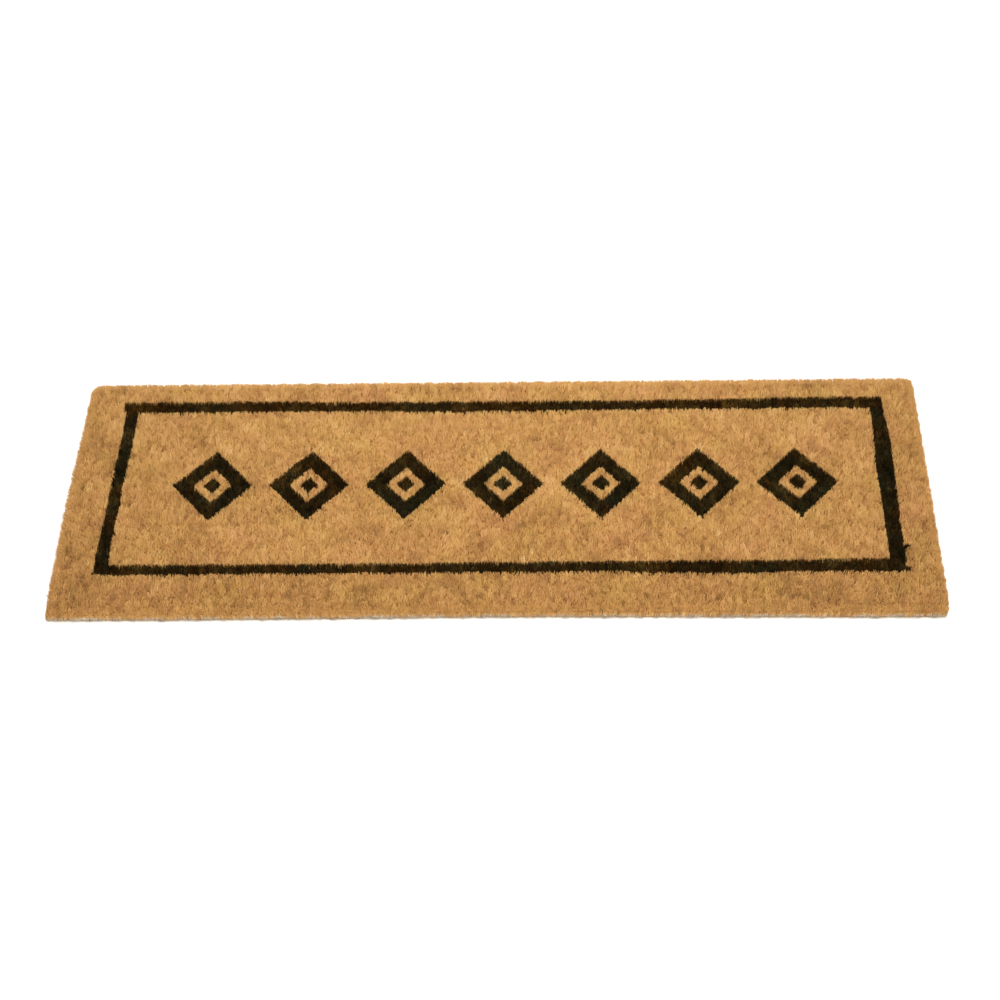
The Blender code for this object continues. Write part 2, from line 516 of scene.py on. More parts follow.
# ---------------------------------------------------------------- sets of fibres

def join_fibres(*groups):
    return {key: np.concatenate([g[key] for g in groups]) for key in groups[0]}


def chosen(f, mask):
    return {key: values[mask] for key, values in f.items()}


def place_tone(x, y):
    """The pile outside the border line is a little darker, most of all at the two ends."""
    outside = np.clip((LINE_FRONT + FRONT_FADE / 2 - y) / FRONT_FADE, 0, 1) * FRONT_DARKER
    outside = np.maximum(outside, np.clip((y - FIELD_BACK) / SIDE_FADE, 0, 1) * BACK_DARKER)
    outside = np.maximum(outside, np.clip((x - FIELD_RIGHT) / SIDE_FADE, 0, 1) * RIGHT_DARKER)
    outside = np.maximum(outside, np.clip((FIELD_LEFT - x) / SIDE_FADE, 0, 1) * LEFT_DARKER)
    # Painted light and shade: paler towards the back, darker towards the front.
    return BACKWARD_PAINTED_LIGHT * y / HALF_DEPTH - outside


def tuft_places():
    """Staggered rows with a little jitter, inside the mat's outline."""
    rows = int((BACK - FRONT) / ROW_PITCH) + 1
    columns = int((RIGHT - LEFT) / TUFT_PITCH) + 1
    row, column = np.meshgrid(np.arange(rows), np.arange(columns), indexing="ij")
    x = LEFT + (column + 0.5 * (row % 2)) * TUFT_PITCH
    y = FRONT + (row + FIRST_ROW) * ROW_PITCH
    x = x.ravel() + rng.normal(0, TUFT_JITTER, x.size)
    y = y.ravel() + rng.normal(0, TUFT_JITTER, y.size)
    kept = edge_distance(x, y)[0] > TUFT_INSET
    return x[kept], y[kept]


def under_places():
    """An even, irregular spread of places for the shorter fibres."""
    number = np.arange(UNDER_FIBRES)
    x = LEFT + (RIGHT - LEFT) * (UNDER_STEP_X * number % 1)
    y = FRONT + (BACK - FRONT) * (UNDER_STEP_Y * number % 1)
    kept = edge_distance(x, y)[0] > UNDER_INSET
    return x[kept], y[kept]


def tufts_and_gaps():
    """The tufts, and the shorter fibres between them, with the tone and tint of each.

    The clouding of the pile runs through both, so the two are made together.
    """
    x, y = tuft_places()
    n = x.size
    gap_x, gap_y = under_places()
    every_x = np.concatenate([x, gap_x])
    every_y = np.concatenate([y, gap_y])
    heading = HEADING_SWING * drift(x, y, HEADING_WAVELENGTH) + rng.normal(0, HEADING_SPREAD, n)
    lean = np.clip(TUFT_LEAN + rng.normal(0, TUFT_LEAN_SPREAD, n), *TUFT_LEAN_RANGE)
    tone = clouds(every_x, every_y, TONE_CLOUDS)
    tone = tone * np.where(every_y > LINE_FRONT, 1.0, FRONT_CLOUDING)
    tone = tone + place_tone(every_x, every_y)
    patchy = rng.normal(0, PATCH_SHADE_SPREAD, n)
    patchy = patchy * np.where((y > LINE_FRONT) | (patchy > 0), 1.0, DARK_PATCH_GAIN)
    tint = clouds(every_x, every_y, TINT_CLOUDS, MIDDLE_TINT)
    tuft_tint = tint[:n] + rng.normal(0, PATCH_TINT_SPREAD, n)
    uneven = np.where(in_motif(x, y), MOTIF_UNEVEN, 1.0)
    top = TOP_SWELL * drift(x, y, TOP_WAVELENGTH) + rng.normal(0, TOP_SPREAD, n)
    tufts = {
        "x": x,
        "y": y,
        "heading": heading,
        "lean": lean,
        "tone": tone[:n] + patchy,
        "tint": tuft_tint,
        "uneven": uneven,
        "top": PILE_TOP - SHEAR_DEPTH + top * uneven,
    }
    return tufts, {"x": gap_x, "y": gap_y, "tone": tone[n:], "tint": tint[n:]}


def tuft_fibres(tufts):
    """The fibres of every tuft. They lean with their tuft and are sheared nearly level."""
    tuft = {key: np.repeat(values, FIBRES_PER_TUFT) for key, values in tufts.items()}
    n = len(tuft["x"])
    angle = rng.uniform(0, 2 * math.pi, n)
    radius = np.sqrt(rng.uniform(0, 1, n))
    x = tuft["x"] + TUFT_RADIUS_X * radius * np.cos(angle)
    y = tuft["y"] + TUFT_RADIUS_Y * radius * np.sin(angle)
    splay = TUFT_SPLAY * radius
    pull_x = tuft["lean"] * np.cos(tuft["heading"]) + splay * np.cos(angle)
    pull_y = tuft["lean"] * np.sin(tuft["heading"]) + splay * np.sin(angle)
    pull_x = pull_x + rng.normal(0, PULL_SPREAD, n)
    pull_y = pull_y + rng.normal(0, PULL_SPREAD, n) + NAP
    distance, out_x, out_y = edge_distance(x, y)
    near = np.clip(1 - distance / EDGE_REACH, 0, 1)
    flare = (EDGE_FLARE * side_flare(y, out_x, out_y) + BOW_LEAN * side_bow(x, y)) * near
    pull_x = pull_x * (1 - EDGE_STIFFNESS * near) + out_x * flare
    pull_y = pull_y * (1 - EDGE_STIFFNESS * near) + out_y * flare
    lean = np.clip(np.hypot(pull_x, pull_y), *FIBRE_LEAN_RANGE)
    stray = (rng.uniform(0, 1, n) < STRAY_SHARE) & (distance > STRAY_INSET)
    glow = np.where(y > LINE_FRONT, STRAY_GLOW, FRONT_STRAY_GLOW) * stray
    rise = rng.normal(0, FIBRE_TOP_SPREAD, n) + STRAY_RISE * stray
    fibres = {
        "x": x,
        "y": y,
        "z": np.full(n, BED_TOP - ROOT_DEPTH),
        "azimuth": np.arctan2(pull_y, pull_x),
        "lean_low": lean * LOW_LEAN,
        "lean_high": np.where(stray, lean + STRAY_LEAN, lean * HIGH_LEAN),
        "top": tuft["top"] + rise * tuft["uneven"],
        "width": FIBRE_WIDTH * rng.uniform(*FIBRE_WIDTH_RANGE, n),
        "shade": tuft["tone"] + rng.normal(NATURAL_SHADE, NATURAL_SHADE_SPREAD, n) + glow,
        "tint": tuft["tint"] + rng.normal(0, NATURAL_TINT_SPREAD, n),
        "coat": np.zeros(n),
    }
    return chosen(fibres, distance > FIBRE_INSET)


def under_fibres(gaps):
    """Shorter fibres between the tufts. They cover the bed where tufts part."""
    n = len(gaps["x"])
    near = np.clip(1 - edge_distance(gaps["x"], gaps["y"])[0] / EDGE_REACH, 0, 1)
    pull_x = rng.normal(0, UNDER_PULL_SPREAD, n)
    pull_y = rng.normal(0, UNDER_PULL_SPREAD, n) + NAP * (1 - EDGE_STIFFNESS * near)
    lean = np.hypot(pull_x, pull_y)
    return {
        "x": gaps["x"],
        "y": gaps["y"],
        "z": np.full(n, BED_TOP - ROOT_DEPTH),
        "azimuth": np.arctan2(pull_y, pull_x),
        "lean_low": lean * LOW_LEAN,
        "lean_high": lean * HIGH_LEAN,
        "top": PILE_TOP - UNDER_DEPTH + rng.normal(0, TOP_SPREAD, n),
        "width": FIBRE_WIDTH * rng.uniform(*UNDER_WIDTH_RANGE, n),
        "shade": gaps["tone"] + rng.normal(UNDER_SHADE, UNDER_SHADE_SPREAD, n),
        "tint": gaps["tint"] + rng.normal(0, UNDER_TINT_SPREAD, n),
        "coat": np.zeros(n),
    }


def wall_fibres():
    """Long fibres that stand on the backing all round the edge and flare outward."""
    s, (x, y, out_x, out_y) = edge_walk(WALL_SPACING)
    n = len(s)
    depth = WALL_INSET + WALL_THICKNESS * rng.uniform(0, 1, n) ** WALL_CROWDING
    x = x - depth * out_x
    y = y - depth * out_y
    heading = np.arctan2(out_y, out_x) + per_stretch(s, WALL_TUFT_PITCH, WALL_TUFT_HEADING_SPREAD)
    tone = place_tone(x, y) + per_stretch(s, WALL_TUFT_PITCH, WALL_TUFT_SHADE_SPREAD)
    tint = MIDDLE_TINT + per_stretch(s, WALL_TUFT_PITCH, WALL_TUFT_TINT_SPREAD)
    tuft_coat = per_stretch(s, WALL_TUFT_PITCH, 1.0)
    shift = SCALLOP_SHIFT * drift_along(s, SCALLOP_WAVELENGTH)
    bulge = np.abs(np.sin(math.pi * s / SCALLOP_PITCH + shift))
    outer = 1 - depth / WALL_FLARE_END
    reach = (LEAST_REACH + SCALLOP_REACH * bulge) * outer * side_flare(y, out_x, out_y)
    reach = reach + side_bow(x, y)
    lean = np.arctan(reach / (PILE_TOP - BACKING_TOP))
    lean = lean + np.abs(rng.normal(0, WALL_LEAN_SPREAD, n))
    pale = rng.uniform(0, 1, n) < WALL_PALE_SHARE
    coat = 1.0 + COAT_DRIFT * drift_along(s, COAT_WAVELENGTH)
    coat = coat + COAT_TUFT_SPREAD * tuft_coat + rng.normal(0, COAT_SPREAD, n)
    coat = np.clip(coat, *COAT_RANGE) * np.clip(COAT_FADE_START - depth / COAT_DEPTH, 0, 1)
    return {
        "x": x,
        "y": y,
        "z": np.full(n, BACKING_TOP - SINK),
        "azimuth": heading + rng.normal(0, WALL_HEADING_SPREAD, n),
        "lean_low": lean * WALL_LOW_LEAN,
        "lean_high": lean * WALL_HIGH_LEAN + WALL_LEAST_LEAN,
        "top": PILE_TOP - WALL_SHEAR_DEPTH - WALL_SHORTENING * rng.uniform(0, 1, n) ** 2 * outer,
        "width": FIBRE_WIDTH * rng.uniform(*WALL_WIDTH_RANGE, n),
        "shade": tone + rng.normal(WALL_SHADE, WALL_SHADE_SPREAD, n) + WALL_PALE_GLOW * pale,
        "tint": tint + rng.normal(0, WALL_TINT_SPREAD, n),
        "coat": coat,
    }


def rim_fibres():
    """Nearly upright fibres just inside the edge. They close the gap between tufts and wall."""
    s, (x, y, out_x, out_y) = edge_walk(RIM_SPACING)
    n = len(s)
    depth = rng.uniform(RIM_INSET, RIM_END, n)
    x = x - depth * out_x
    y = y - depth * out_y
    tone = place_tone(x, y) + per_stretch(s, RIM_TUFT_PITCH, RIM_TUFT_SHADE_SPREAD)
    flare = RIM_FLARE * (1 - depth / RIM_FLARE_END) * side_flare(y, out_x, out_y)
    flare = flare + BOW_LEAN * side_bow(x, y) * (1 - depth / EDGE_REACH)
    pull_x = out_x * flare + rng.normal(0, RIM_PULL_SPREAD, n)
    pull_y = out_y * flare + rng.normal(0, RIM_PULL_SPREAD, n)
    pull_y = pull_y + RIM_NAP * NAP * depth / RIM_NAP_LENGTH
    lean = np.hypot(pull_x, pull_y)
    return {
        "x": x,
        "y": y,
        "z": np.full(n, BACKING_TOP - SINK),
        "azimuth": np.arctan2(pull_y, pull_x),
        "lean_low": lean * LOW_LEAN,
        "lean_high": lean * HIGH_LEAN,
        "top": PILE_TOP - RIM_SHEAR_DEPTH - rng.uniform(0, RIM_SHORTENING, n),
        "width": FIBRE_WIDTH * rng.uniform(*FIBRE_WIDTH_RANGE, n),
        "shade": tone + rng.normal(MIDDLE_SHADE, RIM_SHADE_SPREAD, n),
        "tint": rng.normal(MIDDLE_TINT, RIM_TINT_SPREAD, n),
        "coat": np.zeros(n),
    }


def fibre_kinds():
    """The fibres by shape, each with its segment count and where its painted root shade starts.

    The shorter fibres between the tufts are straight, and the rim fibres are bent.
    """
    tufts, gaps = tufts_and_gaps()
    top = tuft_fibres(tufts)
    under = under_fibres(gaps)
    bent = rng.uniform(0, 1, len(top["x"])) < BENT_SHARE
    return (
        ("straight", join_fibres(chosen(top, ~bent), under), 1, 0.0),
        ("bent", join_fibres(chosen(top, bent), rim_fibres()), 2, 0.0),
        ("wall", wall_fibres(), 2, 0.45),
    )


# ---------------------------------------------------------------- the shape of a fibre

def lean_at(f, share):
    return f["lean_low"] + (f["lean_high"] - f["lean_low"]) * share


def fibre_points(f, levels):
    """Ring points of each fibre as (fibre, point, xyz). Its length brings its tip to its top."""
    n = len(f["x"])
    centre = np.stack([f["x"], f["y"], f["z"]], axis=1)
    climb = sum(np.cos(lean_at(f, level / levels)) for level in range(levels)) / levels
    step = np.minimum((f["top"] - f["z"]) / climb, LONGEST_FIBRE) / levels
    points = np.empty((n, (levels + 1) * FIBRE_SIDES, 3))
    up = np.array([0.0, 0.0, 1.0])
    for level in range(levels + 1):
        share = level / levels
        lean = lean_at(f, share)
        azimuth = f["azimuth"] + f["curl"] * share
        out = np.stack([np.cos(azimuth), np.sin(azimuth), np.zeros(n)], axis=1)
        side = np.stack([-np.sin(azimuth), np.cos(azimuth), np.zeros(n)], axis=1)
        tangent = out * np.sin(lean)[:, None] + up * np.cos(lean)[:, None]
        face = out * np.cos(lean)[:, None] - up * np.sin(lean)[:, None]
        radius = f["width"] / 2 * (1.0 - FIBRE_TAPER * share)
        for corner in range(FIBRE_SIDES):
            spin = f["twist"] + 2 * math.pi * corner / FIBRE_SIDES
            offset = side * np.cos(spin)[:, None] + face * np.sin(spin)[:, None]
            points[:, level * FIBRE_SIDES + corner] = centre + offset * radius[:, None]
        centre = centre + tangent * step[:, None]
    return points


def fibre_faces(levels):
    """Corner numbers of one closed fibre: the root end, the sides and the cut tip."""
    corners = list(range(FIBRE_SIDES))
    faces = [corners[::-1]]
    for level in range(levels):
        for corner in corners:
            a = level * FIBRE_SIDES + corner
            b = level * FIBRE_SIDES + (corner + 1) % FIBRE_SIDES
            faces.append([a, b, b + FIBRE_SIDES, a + FIBRE_SIDES])
    faces.append([levels * FIBRE_SIDES + corner for corner in corners])
    return faces


def fibre_uv(n, levels):
    """Each fibre has a small cell of its own in the unit square, with its root at the bottom."""
    cells = math.ceil(math.sqrt(n))
    local = []
    for level in range(levels + 1):
        for corner in range(FIBRE_SIDES):
            local.append((corner / (FIBRE_SIDES - 1), level / levels))
    local = CELL_MARGIN + (1 - 2 * CELL_MARGIN) * np.array(local)
    number = np.arange(n)
    origin = np.stack([number % cells, number // cells], axis=1)
    return (origin[:, None, :] + local[None, :, :]) / cells


# ---------------------------------------------------------------- meshes and objects

def linked(name, data):
    obj = bpy.data.objects.new(name, data)
    bpy.context.scene.collection.objects.link(obj)
    return obj


def add_values(mesh, values):
    """Gives each point of the mesh the numbers that its material reads."""
    for key, numbers in values.items():
        layer = mesh.attributes.new(key, "FLOAT", "POINT")
        layer.data.foreach_set("value", numbers.astype(np.float32).ravel())


def build_mesh(name, points, faces, uv, values):
    """A mesh of many copies of one small solid. faces holds one solid's lists of corner numbers."""
    n, per_fibre, _ = points.shape
    corners = np.concatenate([np.array(face) for face in faces])
    sizes = np.array([len(face) for face in faces])
    offsets = (np.arange(n) * per_fibre)[:, None]
    loops = (corners[None, :] + offsets).ravel()
    starts = np.concatenate([[0], np.cumsum(sizes)[:-1]])
    starts = (starts[None, :] + (np.arange(n) * len(corners))[:, None]).ravel()
    smooth = np.tile([len(face) > FIBRE_SIDES for face in faces], n)
    mesh = bpy.data.meshes.new(name)
    mesh.vertices.add(n * per_fibre)
    mesh.vertices.foreach_set("co", points.astype(np.float32).ravel())
    mesh.loops.add(len(loops))
    mesh.loops.foreach_set("vertex_index", loops.astype(np.int32))
    mesh.polygons.add(len(starts))
    mesh.polygons.foreach_set("loop_start", starts.astype(np.int32))
    mesh.polygons.foreach_set("use_smooth", smooth)
    layer = mesh.uv_layers.new(name="OFBake")
    layer.data.foreach_set("uv", uv.reshape(-1, 2)[loops].astype(np.float32).ravel())
    add_values(mesh, values)
    mesh.update(calc_edges=True)
    return mesh


def fibre_object(name, f, levels, material, root_share):
    """One piece of pile. root_share is where on the root-to-tip painted shade its fibres start."""
    n, per_fibre, _ = f["points"].shape
    ring = np.repeat(np.arange(levels + 1) / levels, FIBRE_SIDES)
    along = root_share + (1 - root_share) * ring
    values = {
        "shade": np.repeat(f["shade"], per_fibre),
        "tint": np.repeat(f["tint"], per_fibre),
        "along": np.tile(along, n),
        "coat": np.repeat(f["coat"], per_fibre) * np.tile(1 - ring, n),
    }
    points = spread(f["points"])
    mesh = build_mesh(name, points, fibre_faces(levels), fibre_uv(n, levels), values)
    mesh.materials.append(material)
    return linked(name, mesh)


# ---------------------------------------------------------------- materials

# How fine each noise is, in waves per metre, and the range of its values.
GRAIN = 900.0
ROUGH_GRAIN = 300.0
COAT_GRAIN = 350.0
VINYL_GRAIN = 90.0
NOISE_RANGE = (0.30, 0.70)
# How strong the grain is, how rough each surface is, how far up a fibre the painted root shade
# reaches, and how much coat turns a foot from bare to nearly all vinyl.
FIBRE_GRAIN_DEPTH = 0.03
BED_GRAIN_DEPTH = 0.22
FIBRE_ROUGHNESS_RANGE = (0.72, 0.95)
VINYL_ROUGHNESS_RANGE = (0.42, 0.62)
ROOT_RANGE = (0.15, 0.75)
COATING_RANGE = (0.20, 0.95)
MOST_COATED = 0.9

NATURAL_WARM = (
    (0.00, (0.330, 0.147, 0.050)),
    (0.25, (0.560, 0.273, 0.103)),
    (0.50, (0.745, 0.400, 0.154)),
    (0.75, (0.835, 0.500, 0.212)),
    (1.00, (0.930, 0.690, 0.370)),
)
NATURAL_STRAW = (
    (0.00, (0.303, 0.156, 0.039)),
    (0.25, (0.528, 0.297, 0.080)),
    (0.50, (0.705, 0.432, 0.121)),
    (0.75, (0.803, 0.538, 0.178)),
    (1.00, (0.910, 0.710, 0.330)),
)
BLACK_WARM = (
    (0.00, (0.014, 0.0045, 0.0007)),
    (0.40, (0.049, 0.019, 0.0022)),
    (0.55, (0.077, 0.033, 0.0042)),
    (0.75, (0.125, 0.062, 0.010)),
    (1.00, (0.210, 0.115, 0.027)),
)
BLACK_COOL = (
    (0.00, (0.006, 0.006, 0.0025)),
    (0.40, (0.018, 0.018, 0.007)),
    (0.55, (0.031, 0.029, 0.0105)),
    (0.75, (0.060, 0.050, 0.018)),
    (1.00, (0.130, 0.096, 0.033)),
)
COAT_STOPS = (
    (0.35, (0.42, 0.33, 0.235)),
    (0.50, (0.64, 0.53, 0.400)),
    (0.65, (0.80, 0.70, 0.560)),
)
VINYL_STOPS = (
    (0.32, (0.44, 0.39, 0.32)),
    (0.50, (0.70, 0.65, 0.56)),
    (0.68, (0.88, 0.84, 0.74)),
)
NATURAL_LOOK = {
    "warm_stops": NATURAL_WARM,
    "cool_stops": NATURAL_STRAW,
    "tint_range": (0.0, 1.0),
    # At the root: a slight painted light.
    "root_dim": 1.05,
    "gloss": 0.15,
}
BLACK_LOOK = {
    "warm_stops": BLACK_WARM,
    "cool_stops": BLACK_COOL,
    "tint_range": (0.28, 0.72),
    # At the root: painted shade deep in the pile.
    "root_dim": 0.60,
    "gloss": 0.03,
}
# How much deeper the dye is than plain black, and how much cooler its cast is.
DYE = {
    "border_line_front": (0.02, -0.04),
    "border_line_back": (0.08, -0.09),
    "border_line_left": (0.09, 0.05),
    "border_line_right": (0.13, 0.07),
}
MOTIF_DYE = (0.10, 0.05)
# How strongly the pile's own shades and tints show through the dye, and how much the dye varies.
SHADE_KEPT = 1.2
TINT_KEPT = 0.6
DYE_SHADE_SPREAD = 0.12
DYE_TINT_SPREAD = 0.08


def nodes_of(name):
    material = bpy.data.materials.new(name)
    material.use_nodes = True
    tree = material.node_tree
    return material, tree, tree.nodes["Principled BSDF"]


def ramp(tree, stops):
    node = tree.nodes.new("ShaderNodeValToRGB")
    elements = node.color_ramp.elements
    while len(elements) < len(stops):
        elements.new(0.5)
    for element, (position, colour) in zip(elements, stops):
        element.position = position
        element.color = (*colour, 1.0)
    return node


def attribute(tree, name):
    node = tree.nodes.new("ShaderNodeAttribute")
    node.attribute_name = name
    return node.outputs["Fac"]


def mapped(tree, value, from_low, from_high, to_low, to_high):
    node = tree.nodes.new("ShaderNodeMapRange")
    node.inputs["From Min"].default_value = from_low
    node.inputs["From Max"].default_value = from_high
    node.inputs["To Min"].default_value = to_low
    node.inputs["To Max"].default_value = to_high
    tree.links.new(value, node.inputs["Value"])
    return node.outputs["Result"]


def noise(tree, scale, detail=2.0):
    place = tree.nodes.new("ShaderNodeTexCoord")
    node = tree.nodes.new("ShaderNodeTexNoise")
    node.inputs["Scale"].default_value = scale
    node.inputs["Detail"].default_value = detail
    tree.links.new(place.outputs["Object"], node.inputs["Vector"])
    return node.outputs["Fac"]


def added(tree, first, second):
    node = tree.nodes.new("ShaderNodeMath")
    node.operation = "ADD"
    tree.links.new(first, node.inputs[0])
    tree.links.new(second, node.inputs[1])
    return node.outputs["Value"]


def dimmed(tree, colour, value):
    """The colour times a grey value."""
    node = tree.nodes.new("ShaderNodeVectorMath")
    node.operation = "SCALE"
    tree.links.new(colour, node.inputs[0])
    tree.links.new(value, node.inputs["Scale"])
    return node.outputs["Vector"]


def mixed(tree, first, second, value):
    """One colour turning into the other as the value goes from 0 to 1."""
    node = tree.nodes.new("ShaderNodeMix")
    node.data_type = "RGBA"
    tree.links.new(value, node.inputs["Factor"])
    tree.links.new(first, node.inputs["A"])
    tree.links.new(second, node.inputs["B"])
    return node.outputs["Result"]


def fibre_material(name, warm_stops, cool_stops, tint_range, root_dim, gloss, grain_depth):
    """Fibres: each has its own shade and tint, and grain along it. Painted shade darkens the root;
    a root factor above 1 makes it a slight painted light instead.

    Where a fibre leaves the cut edge of the backing, pale vinyl coats its foot.
    """
    material, tree, shader = nodes_of(name)
    grain = mapped(tree, noise(tree, GRAIN), *NOISE_RANGE, -grain_depth, grain_depth)
    value = added(tree, attribute(tree, "shade"), grain)
    colours = []
    for stops in (warm_stops, cool_stops):
        node = ramp(tree, stops)
        tree.links.new(value, node.inputs["Fac"])
        colours.append(node.outputs["Color"])
    tint = mapped(tree, attribute(tree, "tint"), *tint_range, 0.0, 1.0)
    colour = mixed(tree, colours[0], colours[1], tint)
    # Painted shade deep in the pile: the colour is scaled by the root factor towards the root.
    depth = mapped(tree, attribute(tree, "along"), *ROOT_RANGE, root_dim, 1.0)
    colour = dimmed(tree, colour, depth)
    vinyl = ramp(tree, COAT_STOPS)
    tree.links.new(noise(tree, COAT_GRAIN), vinyl.inputs["Fac"])
    coated = mapped(tree, attribute(tree, "coat"), *COATING_RANGE, 0.0, MOST_COATED)
    colour = mixed(tree, colour, vinyl.outputs["Color"], coated)
    tree.links.new(colour, shader.inputs["Base Color"])
    rough = mapped(tree, noise(tree, ROUGH_GRAIN), *NOISE_RANGE, *FIBRE_ROUGHNESS_RANGE)
    tree.links.new(rough, shader.inputs["Roughness"])
    shader.inputs["Specular IOR Level"].default_value = gloss
    return material


def vinyl_material():
    material, tree, shader = nodes_of("vinyl")
    colours = ramp(tree, VINYL_STOPS)
    tree.links.new(noise(tree, VINYL_GRAIN, 5.0), colours.inputs["Fac"])
    tree.links.new(colours.outputs["Color"], shader.inputs["Base Color"])
    rough = mapped(tree, noise(tree, VINYL_GRAIN, 4.0), *NOISE_RANGE, *VINYL_ROUGHNESS_RANGE)
    tree.links.new(rough, shader.inputs["Roughness"])
    return material


natural_material = fibre_material("natural_fibre", **NATURAL_LOOK, grain_depth=FIBRE_GRAIN_DEPTH)
black_material = fibre_material("black_fibre", **BLACK_LOOK, grain_depth=FIBRE_GRAIN_DEPTH)
natural_bed_material = fibre_material("natural_bed", **NATURAL_LOOK, grain_depth=BED_GRAIN_DEPTH)
black_bed_material = fibre_material("black_bed", **BLACK_LOOK, grain_depth=BED_GRAIN_DEPTH)


# ---------------------------------------------------------------- the vinyl backing

def rib_lift(y):
    """Height of the moulded underside: low ribs along the mat, and a flat band front and back."""
    inside = np.clip((HALF_DEPTH - np.abs(y) - RIB_BORDER) / RIB_PITCH, 0, 1)
    wave = 0.5 - 0.5 * np.cos(2 * math.pi * y / RIB_PITCH)
    return RIB_DEPTH * wave * inside


def backing_rows():
    """Where rows of points run along the backing: closer than its ribs, closest at its corners."""
    rows = int(2 * HALF_DEPTH / (RIB_PITCH / 4)) + 1
    widest = BACK_LEFT_RADIUS
    y_corner = HALF_DEPTH - widest + widest * np.sin(np.linspace(0, math.pi / 2, CORNER_ROWS))
    y_middle = np.linspace(widest - HALF_DEPTH, HALF_DEPTH - widest, rows)
    return np.concatenate([-y_corner[:0:-1], y_middle, y_corner[1:]])


def backing_grid():
    """A grid of points that fills the mat's outline, with a slightly uneven edge."""
    y = backing_rows()
    ends = []
    for side in (-1.0, 1.0):
        radius = corner_radius(np.full(len(y), side), y)
        into_corner = np.maximum(np.abs(y) - HALF_DEPTH + radius, 0)
        round_off = radius - np.sqrt(np.maximum(radius**2 - into_corner**2, 0))
        ends.append(side * (HALF_LENGTH - round_off))
    grid_y, grid_u = np.meshgrid(y, np.linspace(0, 1, BACKING_COLUMNS), indexing="ij")
    grid_x = ends[0][:, None] * (1 - grid_u) + ends[1][:, None] * grid_u
    near_x = np.abs(2 * grid_u - 1) ** EDGE_SHARPNESS
    near_y = np.abs(grid_y / HALF_DEPTH) ** EDGE_SHARPNESS
    edge_x = EDGE_WANDER * drift_along(grid_y, EDGE_WAVELENGTH) * near_x
    edge_y = EDGE_WANDER * drift_along(grid_x, EDGE_WAVELENGTH) * near_y
    edge_y -= FRONT_LIP * (grid_y < FRONT + FRONT_LIP_LENGTH)
    grid_x = np.clip(grid_x + edge_x, LEFT, RIGHT)
    grid_y = np.clip(grid_y + edge_y, FRONT - MOST_FRONT_LIP, BACK)
    return grid_x, grid_y


def backing_faces(number):
    """Faces of a closed sheet between a lower and an upper copy of a grid of numbered points."""
    a, b, c, d = number[:-1, :-1], number[:-1, 1:], number[1:, 1:], number[1:, :-1]
    top = number.size
    under = np.stack([a, d, c, b], axis=2).reshape(-1, 4)
    over = np.stack([a, b, c, d], axis=2).reshape(-1, 4) + top
    rim = np.concatenate([number[0, :-1], number[:-1, -1], number[-1, :0:-1], number[:0:-1, 0]])
    after = np.roll(rim, -1)
    wall = np.stack([rim, after, after + top, rim + top], axis=1)
    return np.concatenate([under, over, wall])


def backing_sheet():
    """The backing: one soft sheet, with ribs under it."""
    grid_x, grid_y = backing_grid()
    side = np.clip((HALF_LENGTH - np.abs(grid_x) - RIB_BORDER) / RIB_PITCH, 0, 1)
    low = rib_lift(grid_y) * side
    swelling = BACKING_SWELL * drift(grid_x, grid_y, BACKING_WAVELENGTH)
    high = BACKING_TOP - BACKING_GAP + swelling
    points = np.concatenate([
        np.stack([grid_x, grid_y, low], axis=2).reshape(-1, 3),
        np.stack([grid_x, grid_y, high], axis=2).reshape(-1, 3),
    ])
    faces = backing_faces(np.arange(grid_x.size).reshape(grid_x.shape))
    mesh = bpy.data.meshes.new("vinyl_backing_sheet")
    mesh.from_pydata(spread(points).tolist(), [], faces.tolist())
    mesh.update()
    mesh.shade_smooth()
    mesh.set_sharp_from_angle(angle=BACKING_SHARP_ANGLE)
    mesh.materials.append(vinyl_material())
    return linked("vinyl_backing_sheet", mesh)


# ---------------------------------------------------------------- the bed that the fibres stand in

def bed_blocks(name, nodes):
    """The blocks of those CAD nodes as one mesh, cut down to the height of the bed.

    They sit a little further back than the CAD, because the fibres lean that way.
    """
    points = []
    faces = []
    for node in nodes:
        source = frame["nodes"][node].data
        start = len(points)
        points += [tuple(vertex.co) for vertex in source.vertices]
        faces += [[start + v for v in polygon.vertices] for polygon in source.polygons]
    co = np.array(points)
    shift = BED_SHIFT * np.clip((co[:, 1] - FRONT) / BED_SHIFT_LENGTH, 0, 1)
    co[:, 1] = np.minimum(co[:, 1] + shift, BACK)
    upper = co[:, 2] > (PILE_TOP + BACKING_TOP) / 2
    co[:, 2] = np.where(upper, BED_TOP, BACKING_TOP - BED_SINK)
    mesh = bpy.data.meshes.new(name)
    mesh.from_pydata(co.tolist(), [], faces)
    mesh.update()
    return mesh


def voxel_mesh(obj):
    """The object's mesh, rebuilt with small even faces."""
    remesh = obj.modifiers.new("remesh", "REMESH")
    remesh.mode = "VOXEL"
    remesh.voxel_size = BED_VOXEL
    bpy.context.view_layer.update()
    graph = bpy.context.evaluated_depsgraph_get()
    mesh = bpy.data.meshes.new_from_object(obj.evaluated_get(graph), depsgraph=graph)
    obj.modifiers.clear()
    return mesh


